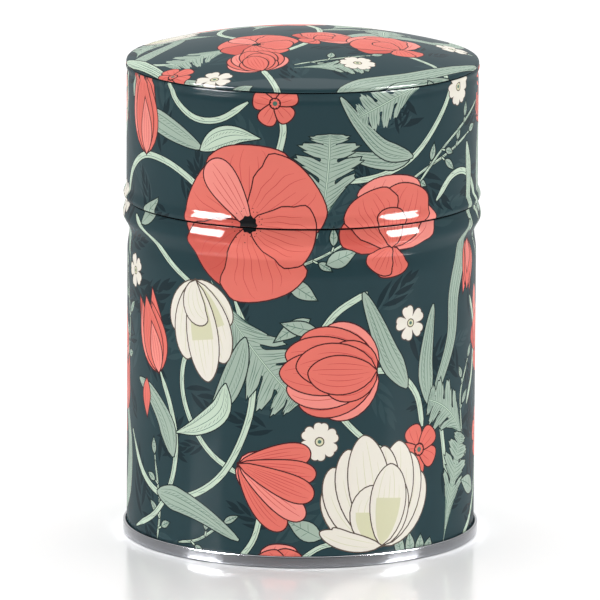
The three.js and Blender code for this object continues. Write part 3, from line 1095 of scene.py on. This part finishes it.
def turned_piece(name, outline, material, steps=120):
    """Draws a closed section beside the axis point by point, spins it round and closes it up."""
    places = [(r * MM, 0.0, z * MM) for r, z in outline]
    bpy.ops.object.select_all(action="DESELECT")
    bpy.ops.mesh.primitive_plane_add(size=PLATE * MM, location=places[0])
    piece = bpy.context.object
    piece.name = piece.data.name = name
    bpy.ops.object.mode_set(mode="EDIT")
    bpy.ops.mesh.select_mode(type="VERT")
    bpy.ops.mesh.select_all(action="SELECT")
    bpy.ops.mesh.merge(type="CENTER")
    for before, after in zip(places, places[1:]):
        step = [b - a for a, b in zip(before, after)]
        bpy.ops.mesh.extrude_region_move(TRANSFORM_OT_translate={"value": step})
    bpy.ops.object.mode_set(mode="OBJECT")
    bpy.ops.object.transform_apply(location=True, rotation=False, scale=False)
    if outline[0][0] > 0 or outline[-1][0] > 0:
        ends = {0, len(places) - 1}
        for vertex in piece.data.vertices:
            vertex.select = vertex.index in ends
        bpy.ops.object.mode_set(mode="EDIT")
        bpy.ops.mesh.edge_face_add()
        bpy.ops.object.mode_set(mode="OBJECT")
    bpy.ops.object.mode_set(mode="EDIT")
    bpy.ops.mesh.select_all(action="SELECT")
    bpy.ops.mesh.spin(steps=steps, angle=2 * math.pi, center=(0, 0, 0), axis=(0, 0, 1))
    bpy.ops.mesh.select_all(action="SELECT")
    bpy.ops.mesh.remove_doubles(threshold=1e-6)
    bpy.ops.mesh.normals_make_consistent(inside=False)
    bpy.ops.object.mode_set(mode="OBJECT")
    bpy.ops.object.shade_smooth_by_angle(angle=math.radians(38))
    piece.data.materials.append(material)
    return piece


def base_face(steps=7):
    """The underside of the base plate, from its middle out to the seam that hooks round the body's foot."""
    wide = BODY_RADIUS - 0.075
    face = [(0, PANEL_Z)]
    for ring in (12.0, 24.0):
        face += beside(ring, PANEL_Z, ((-1.6, 0), (-0.9, -0.12), (0, -0.32), (0.9, -0.12), (1.6, 0)))
    face += beside(0, PANEL_Z, ((33.9, 0), (34.6, -0.06), (35.3, -0.5)))
    face += arc(wide - 1.275, 2.6, 0.8, 90, 0, steps)
    face += arc(wide, 0.475, 0.475, 180, 270, steps)
    face += arc(wide + 0.5, 0.475, 0.475, 270, 360, steps)
    face += arc(SEAM_RADIUS - 0.425, SEAM_HEIGHT - 0.425, 0.425, 0, 180, 2 * steps)
    face += [(BODY_RADIUS + LAP, 1.0)]
    return face


def pan_face(steps=8):
    """The underside of the inner lid's pan, from its hole out to the flange that sits on the neck."""
    plug = NECK_RADIUS - 1.55
    return (
        beside(0, PAN_Z, ((1.65, 0), (8.5, 0), (8.9, -0.2), (9.3, -0.6)))
        + beside(0, PAN_Z, ((22.0, -0.6), (22.9, -0.42), (23.8, -0.6)))
        + arc(plug - 1.1, PAN_Z + 0.5, 1.1, -90, 0, steps)
        + arc(plug + 0.6, NECK_TOP - 0.55, 0.6, 180, 90, steps)
        + arc(FLANGE_RADIUS - 0.4, NECK_TOP + 0.45, 0.4, -90, 90, steps)
        + [(FLANGE_RADIUS - 0.55, NECK_TOP + 0.85)]
    )


def knob_outline(steps=8):
    """The turned knob: a bored foot, a waist and a flat dished head."""
    bore = 1.55
    foot = ((bore, 0), (3.9, 0), (4.2, 0.15), (4.2, 0.55), (3.7, 0.95), (3.2, 1.35))
    waist = ((2.9, 2.3), (2.8, 3.1), (2.9, 4.0), (3.3, 4.9), (4.1, 5.65))
    head = ((5.4, -1.55), (4.4, -0.9), (2.3, -0.2), (0.9, -0.03), (0, 0))
    return (
        [(0, KNOB_TOP - 4.0), (bore, KNOB_TOP - 4.0)]
        + beside(0, KNOB_FOOT, foot + waist)
        + arc(5.9, KNOB_TOP - 3.0, 1.2, -60, 70, steps)
        + beside(0, KNOB_TOP, head)
    )


def rivet_outline():
    """The rivet: a low round head below the pan and a shank up into the knob."""
    head = ((0, 0), (0.9, 0.03), (1.8, 0.13), (2.6, 0.34), (3.1, 0.62), (3.2, 0.85), (3.2, 1.0), (1.5, 1.0))
    return beside(0, RIVET_FOOT, head) + [(1.5, KNOB_TOP - 4.15), (0, KNOB_TOP - 4.15)]


# --------------------------------------------------------------------------------------------------
# Finishes


class Finish:
    """A material made afresh, with its shader and a short way to add and join nodes."""

    def __init__(self, name):
        old = bpy.data.materials.get(name)
        if old:
            bpy.data.materials.remove(old)
        self.material = bpy.data.materials.new(name)
        self.material.use_nodes = True
        self.tree = self.material.node_tree
        self.shader = self.tree.nodes["Principled BSDF"]

    def add(self, kind, **values):
        node = self.tree.nodes.new("ShaderNode" + kind)
        for name, value in values.items():
            if name in node.inputs:
                node.inputs[name].default_value = value
            else:
                setattr(node, name.lower(), value)
        return node

    def join(self, start, end):
        self.tree.links.new(start, end)

    def sets(self, **values):
        for name, value in values.items():
            self.shader.inputs[name.replace("_", " ")].default_value = value


def round_and_up(finish):
    """Where a point is on a turned piece: its distance from the axis and its height, but not its angle."""
    place = finish.add("TexCoord")
    apart = finish.add("SeparateXYZ")
    finish.join(place.outputs["Object"], apart.inputs[0])
    flat = finish.add("CombineXYZ")
    finish.join(apart.outputs["X"], flat.inputs["X"])
    finish.join(apart.outputs["Y"], flat.inputs["Y"])
    radius = finish.add("VectorMath", operation="LENGTH")
    finish.join(flat.outputs[0], radius.inputs[0])
    both = finish.add("CombineXYZ")
    finish.join(radius.outputs["Value"], both.inputs["X"])
    finish.join(apart.outputs["Z"], both.inputs["Z"])
    return both.outputs[0]


def graded(finish, value, low, high, socket):
    """Spreads a pattern between two values of a shader's socket."""
    scale = finish.add("MapRange")
    scale.inputs["To Min"].default_value = low
    scale.inputs["To Max"].default_value = high
    finish.join(value, scale.inputs["Value"])
    finish.join(scale.outputs["Result"], socket)


def printed(name, colour):
    """Ink on tinplate under clear lacquer: fine level lines from the roller, and a slight waviness on top."""
    finish = Finish(name)
    finish.sets(Base_Color=(*colour, 1), Metallic=0.0, Roughness=0.42, Specular_IOR_Level=0.0,
                Coat_Weight=0.24, Coat_Roughness=0.04, Coat_IOR=1.5)
    place = finish.add("TexCoord")
    lines = finish.add("Mapping")
    lines.inputs["Scale"].default_value = (60, 60, 2600)
    finish.join(place.outputs["Object"], lines.inputs["Vector"])
    grain = finish.add("TexNoise", Scale=1.0, Detail=3.0, Roughness=0.6)
    finish.join(lines.outputs[0], grain.inputs["Vector"])
    graded(finish, grain.outputs["Fac"], 0.34, 0.52, finish.shader.inputs["Roughness"])
    peel = finish.add("TexNoise", Scale=260.0, Detail=2.0)
    finish.join(place.outputs["Object"], peel.inputs["Vector"])
    under = finish.add("Bump", Strength=0.25, Distance=0.00002)
    finish.join(grain.outputs["Fac"], under.inputs["Height"])
    over = finish.add("Bump", Strength=0.2, Distance=0.00004)
    finish.join(peel.outputs["Fac"], over.inputs["Height"])
    finish.join(under.outputs[0], over.inputs["Normal"])
    finish.join(over.outputs[0], finish.shader.inputs["Normal"])
    return finish.material


def ringed_metal(name, colour, roughness, noise, spread, strength):
    """Bare metal with fine rings round the tin, whose roughness and bump follow one noise."""
    finish = Finish(name)
    finish.sets(Base_Color=(*colour, 1), Metallic=1.0, Roughness=roughness)
    where = round_and_up(finish)
    rings = finish.add("TexNoise", **noise)
    finish.join(where, rings.inputs["Vector"])
    graded(finish, rings.outputs["Fac"], *spread, finish.shader.inputs["Roughness"])
    bump = finish.add("Bump", Strength=strength, Distance=0.00001)
    finish.join(rings.outputs["Fac"], bump.inputs["Height"])
    finish.join(bump.outputs[0], finish.shader.inputs["Normal"])
    return finish.material


def tinplate(grey=0.25):
    """Bright tinplate: rolled streaks that run round the tin."""
    noise = {"Scale": 2600.0, "Detail": 4.0, "Roughness": 0.65}
    return ringed_metal("rolled_tinplate", (grey, grey * 1.02, grey * 1.08), 0.12, noise, (0.07, 0.17), 0.35)


def turned_aluminium():
    """Aluminium from the lathe: fine rings, brighter than the tinplate."""
    noise = {"Scale": 5200.0, "Detail": 2.0}
    return ringed_metal("lathe_aluminium", (0.40, 0.40, 0.41), 0.24, noise, (0.14, 0.34), 0.5)


def pale_floor(grey):
    """Smooth white board with a satin face and a very faint mottle."""
    finish = Finish("floor_board")
    finish.sets(Base_Color=(grey, grey, grey, 1), Roughness=0.16)
    place = finish.add("TexCoord")
    mottle = finish.add("TexNoise", Scale=40.0)
    finish.join(place.outputs["Object"], mottle.inputs["Vector"])
    graded(finish, mottle.outputs["Fac"], 0.13, 0.19, finish.shader.inputs["Roughness"])
    return finish.material


def sheet_materials(inks):
    """A material for each ink, and the bare metal after them."""
    made = []
    for name in INKS:
        made.append(bpy.data.materials.get("ink_" + name) or printed("ink_" + name, getattr(inks, name)))
    made.append(bpy.data.materials.get("rolled_tinplate") or tinplate())
    return made


# --------------------------------------------------------------------------------------------------
# Operators


def stands_for(piece, body, node):
    """The piece moves with a body, and is shown in place of a CAD node."""
    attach(piece, body)
    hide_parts(node)


class CADDY_OT_body_wall(bpy.types.Operator):
    """Roll the printed wall of the body, with its bead and its bare neck"""

    bl_idname = "caddy.body_wall"
    bl_label = "Body Wall"

    def execute(self, context):
        face, first, last = body_face()
        materials = sheet_materials(context.scene.caddy_inks)
        piece = printed_wall("body_wall_printed", face, first, last, materials, context.scene.caddy_sheet)
        stands_for(piece, "caddy", "body_wall")
        return {"FINISHED"}


class CADDY_OT_base_plate(bpy.types.Operator):
    """Spin the bare base plate, seamed round the foot of the body"""

    bl_idname = "caddy.base_plate"
    bl_label = "Base Plate"

    def execute(self, context):
        material = sheet_materials(context.scene.caddy_inks)[BARE]
        piece = turned_piece("base_plate_seamed", sheet_section(base_face()), material, 160)
        stands_for(piece, "caddy", "base_plate")
        return {"FINISHED"}


class CADDY_OT_lid_wall(bpy.types.Operator):
    """Roll the printed wall of the lid, with its flared rim and its lip"""

    bl_idname = "caddy.lid_wall"
    bl_label = "Lid Wall"

    def execute(self, context):
        face, first, last = lid_face()
        materials = sheet_materials(context.scene.caddy_inks)
        piece = printed_wall("lid_wall_printed", face, first, last, materials, context.scene.caddy_sheet)
        stands_for(piece, "lid", "lid_wall")
        return {"FINISHED"}


class CADDY_OT_lid_crown(bpy.types.Operator):
    """Press the domed, printed crown of the lid"""

    bl_idname = "caddy.lid_crown"
    bl_label = "Lid Crown"

    def execute(self, context):
        materials = sheet_materials(context.scene.caddy_inks)
        piece = printed_crown("lid_crown_printed", materials, context.scene.caddy_sheet)
        stands_for(piece, "lid", "lid_crown")
        return {"FINISHED"}


class CADDY_OT_inner_lid(bpy.types.Operator):
    """Spin the inner lid: its pan, its knob and the rivet that joins them"""

    bl_idname = "caddy.inner_lid"
    bl_label = "Inner Lid"

    def execute(self, context):
        tin = sheet_materials(context.scene.caddy_inks)[BARE]
        aluminium = turned_aluminium()
        pan = turned_piece("inner_lid_pan_pressed", sheet_section(pan_face()), tin, 128)
        stands_for(pan, "inner_lid", "inner_lid_pan")
        knob = turned_piece("inner_lid_knob_turned", knob_outline(), aluminium, 72)
        stands_for(knob, "inner_lid", "inner_lid_knob")
        rivet = turned_piece("knob_rivet_headed", rivet_outline(), aluminium, 48)
        stands_for(rivet, "inner_lid", "knob_rivet")
        return {"FINISHED"}


def softbox(name, place, aim, width, height, power, lights=True, shines=True):
    """A rectangular lamp that faces a point, which may be kept out of diffuse light or out of gloss."""
    lamp = bpy.data.lights.new(name, "AREA")
    lamp.shape = "RECTANGLE"
    lamp.size, lamp.size_y, lamp.energy = width, height, power
    box = bpy.data.objects.new(name, lamp)
    box.location = place
    box.rotation_euler = (Vector(aim) - Vector(place)).to_track_quat("-Z", "Y").to_euler()
    box.visible_diffuse, box.visible_glossy = lights, shines
    bpy.context.scene.collection.objects.link(box)


def tent(front, back, top):
    """A white tent round the table: its brightness in front, behind and overhead."""
    world = bpy.data.worlds.new("studio_tent")
    world.use_nodes = True
    nodes, links = world.node_tree.nodes, world.node_tree.links
    where = nodes.new("ShaderNodeTexCoord")
    apart = nodes.new("ShaderNodeSeparateXYZ")
    links.new(where.outputs["Generated"], apart.inputs[0])
    depth = nodes.new("ShaderNodeMapRange")
    depth.inputs["From Min"].default_value = -1
    depth.inputs["To Min"].default_value = front
    depth.inputs["To Max"].default_value = back
    links.new(apart.outputs["Y"], depth.inputs["Value"])
    rise = nodes.new("ShaderNodeMapRange")
    rise.inputs["From Min"].default_value = 0.3
    links.new(apart.outputs["Z"], rise.inputs["Value"])
    both = nodes.new("ShaderNodeMix")
    both.inputs["B"].default_value = top
    links.new(rise.outputs["Result"], both.inputs["Factor"])
    links.new(depth.outputs["Result"], both.inputs["A"])
    links.new(both.outputs["Result"], nodes["Background"].inputs["Strength"])
    nodes["Background"].inputs["Color"].default_value = (1, 1, 1, 1)
    return world


class CADDY_OT_studio(bpy.types.Operator):
    """Lay the floor, hang the lamps and set up the camera"""

    bl_idname = "caddy.studio"
    bl_label = "Studio"

    def execute(self, context):
        scene, studio = context.scene, context.scene.caddy_studio
        bpy.ops.object.select_all(action="DESELECT")
        bpy.ops.mesh.primitive_circle_add(vertices=96, radius=6, fill_type="NGON")
        floor = context.object
        floor.name = "studio_floor"
        floor.data.materials.append(pale_floor(studio.floor))

        scene.world = tent(0.05, 1.1, 0.8)
        for side, azimuth in (("left", -65), ("right", 70)):
            a = math.radians(azimuth)
            place = (1.1 * math.sin(a), -1.1 * math.cos(a), 0.72)
            softbox("strip_" + side, place, (0, 0, 0.08), 0.52, 0.8, 130, lights=False)
        softbox("overhead", (0.0, 0.9, 2.2), (0, 0.9, 0.0), 3.6, 3.6, 60)
        softbox("fill", (0.0, -2.6, 1.0), (0, 0, 0.06), 2.3, 1.45, 17, shines=False)

        lens = bpy.data.cameras.new("studio_camera")
        lens.lens, lens.sensor_width = studio.lens, 36
        lens.clip_start, lens.clip_end = 0.05, 50
        camera = bpy.data.objects.new("studio_camera", lens)
        aim = Vector((studio.aside, 0, studio.aim))
        away = Vector((0, -math.cos(studio.elevation), math.sin(studio.elevation)))
        camera.location = aim + away * studio.distance
        camera.rotation_euler = (-away).to_track_quat("-Z", "Y").to_euler()
        camera.rotation_euler.rotate_axis("Z", studio.lean)
        scene.collection.objects.link(camera)
        scene.camera = camera
        scene.view_settings.view_transform = "Standard"
        return {"FINISHED"}


OPERATORS = (
    CADDY_OT_body_wall, CADDY_OT_base_plate, CADDY_OT_lid_wall, CADDY_OT_lid_crown, CADDY_OT_inner_lid,
    CADDY_OT_studio,
)
SETTINGS = {"caddy_sheet": CaddySheet, "caddy_inks": CaddyInks, "caddy_studio": CaddyStudio}


class CADDY_PT_panel(bpy.types.Panel):
    """The pieces of the tea caddy, and their sizes and colours."""

    bl_idname = "CADDY_PT_panel"
    bl_label = "Tea Caddy"
    bl_space_type = "VIEW_3D"
    bl_region_type = "UI"
    bl_category = "Tea Caddy"

    def draw(self, context):
        for operator in OPERATORS:
            self.layout.operator(operator.bl_idname)
        for name, group in SETTINGS.items():
            box = self.layout.box()
            for value in group.__annotations__:
                box.prop(getattr(context.scene, name), value)


def register():
    for item in (*SETTINGS.values(), *OPERATORS, CADDY_PT_panel):
        bpy.utils.register_class(item)
    for name, group in SETTINGS.items():
        setattr(bpy.types.Scene, name, PointerProperty(type=group))


def unregister():
    for name in SETTINGS:
        delattr(bpy.types.Scene, name)
    for item in reversed((*SETTINGS.values(), *OPERATORS, CADDY_PT_panel)):
        bpy.utils.unregister_class(item)


def main():
    register()
    bpy.ops.caddy.studio()
    bpy.ops.caddy.body_wall()
    bpy.ops.caddy.base_plate()
    bpy.ops.caddy.lid_wall()
    bpy.ops.caddy.lid_crown()
    bpy.ops.caddy.inner_lid()


if __name__ == "__main__":
    main()
